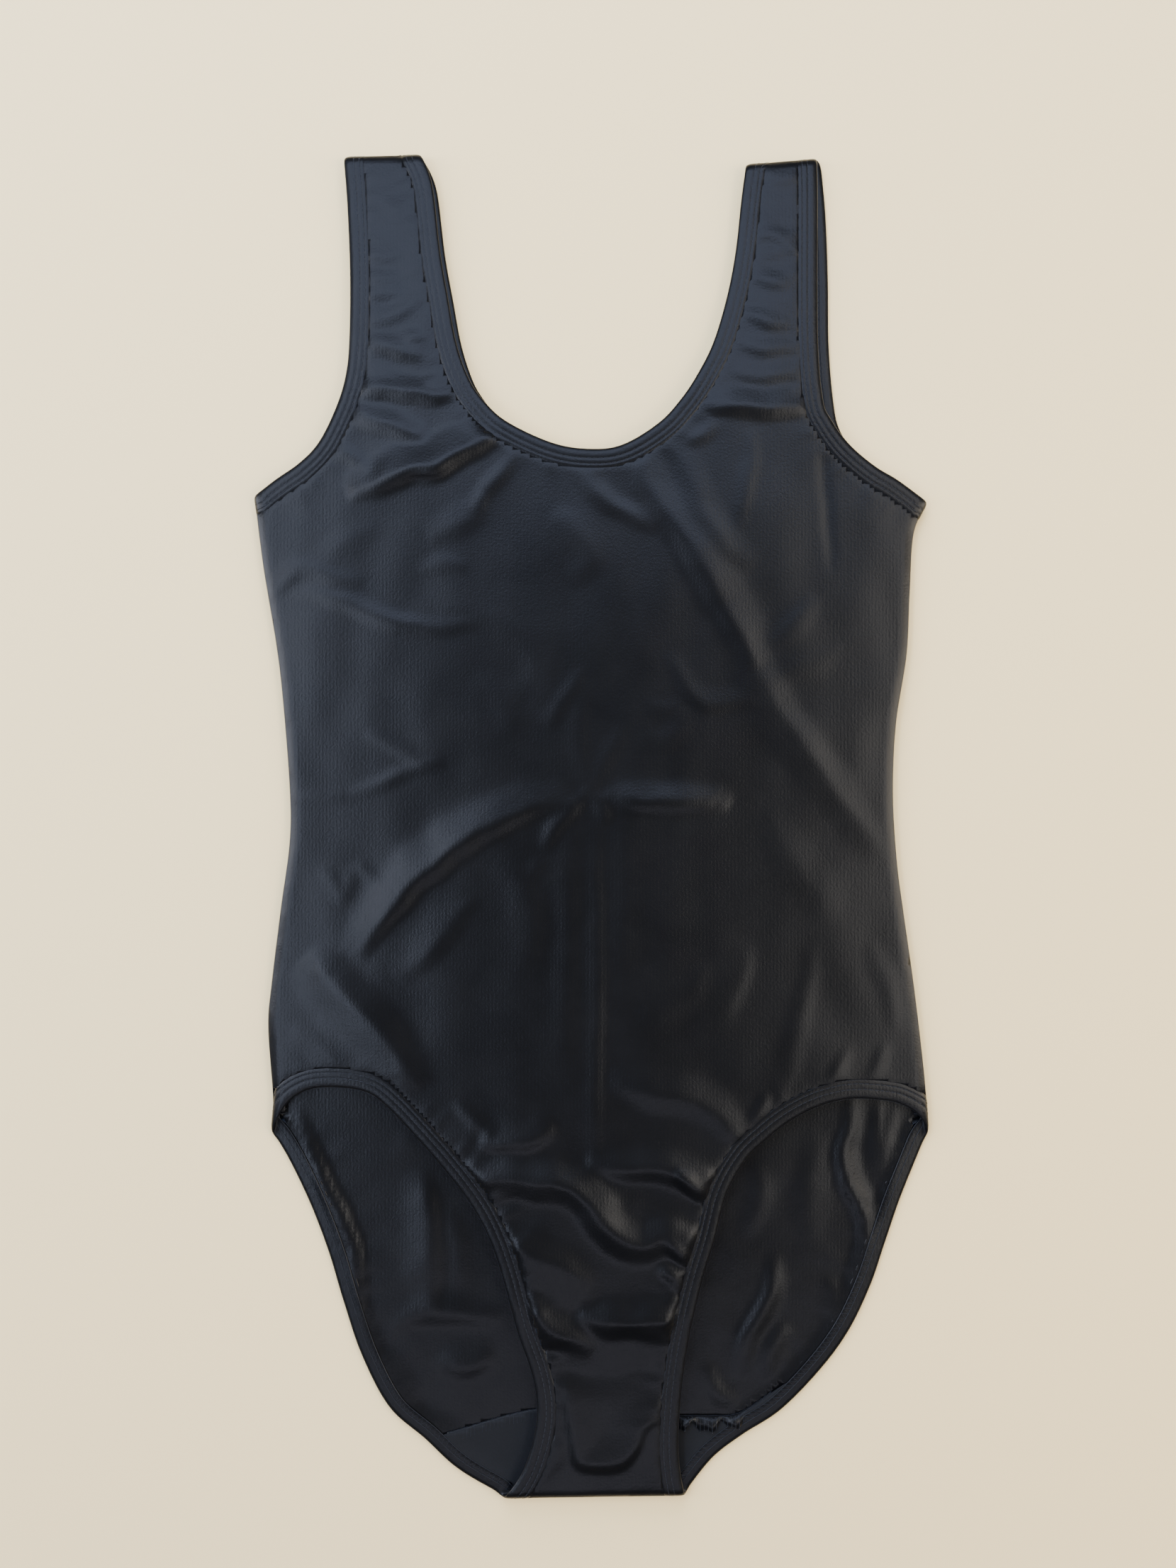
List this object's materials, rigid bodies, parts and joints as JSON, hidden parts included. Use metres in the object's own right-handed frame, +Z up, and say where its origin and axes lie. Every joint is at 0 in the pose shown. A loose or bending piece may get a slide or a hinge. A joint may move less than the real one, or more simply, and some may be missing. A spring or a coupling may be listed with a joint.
{
  "type": "gymnastics leotard",
  "caption": "Sleeveless scoop-neck gymnastics leotard with wide straps, laid flat on its back with the front up.",
  "frame": {"origin": "on the surface that the leotard lies on, under the middle of its length and width", "axes": "+Z up, out of the front; +Y from the crotch to the shoulders; +X to the wearer's left, which is on the right as seen from the front. Node names use the wearer's sides"},
  "size_m": [0.3458, 0.69, 0.0146],
  "materials": {
    "jersey": "satin nylon and elastane knit",
    "cotton": "matt cotton knit",
    "elastic": "matt",
    "thread": "textured nylon thread",
    "label": "woven satin tape"
  },
  "bodies": {
    "root": {"front_panel": "jersey", "back_panel": "jersey", "crotch_lining": "cotton", "lining_overlock": "thread", "care_label": "label", "crotch_seam": "thread", "neck_elastic": "elastic", "neck_coverstitch": "thread", "left_armhole_elastic": "elastic", "left_armhole_coverstitch": "thread", "right_armhole_elastic": "elastic", "right_armhole_coverstitch": "thread", "left_leg_elastic": "elastic", "left_leg_coverstitch": "thread", "right_leg_elastic": "elastic", "right_leg_coverstitch": "thread", "left_side_seam": "thread", "right_side_seam": "thread", "left_shoulder_seam": "thread", "right_shoulder_seam": "thread"}
  },
  "joints": []
}
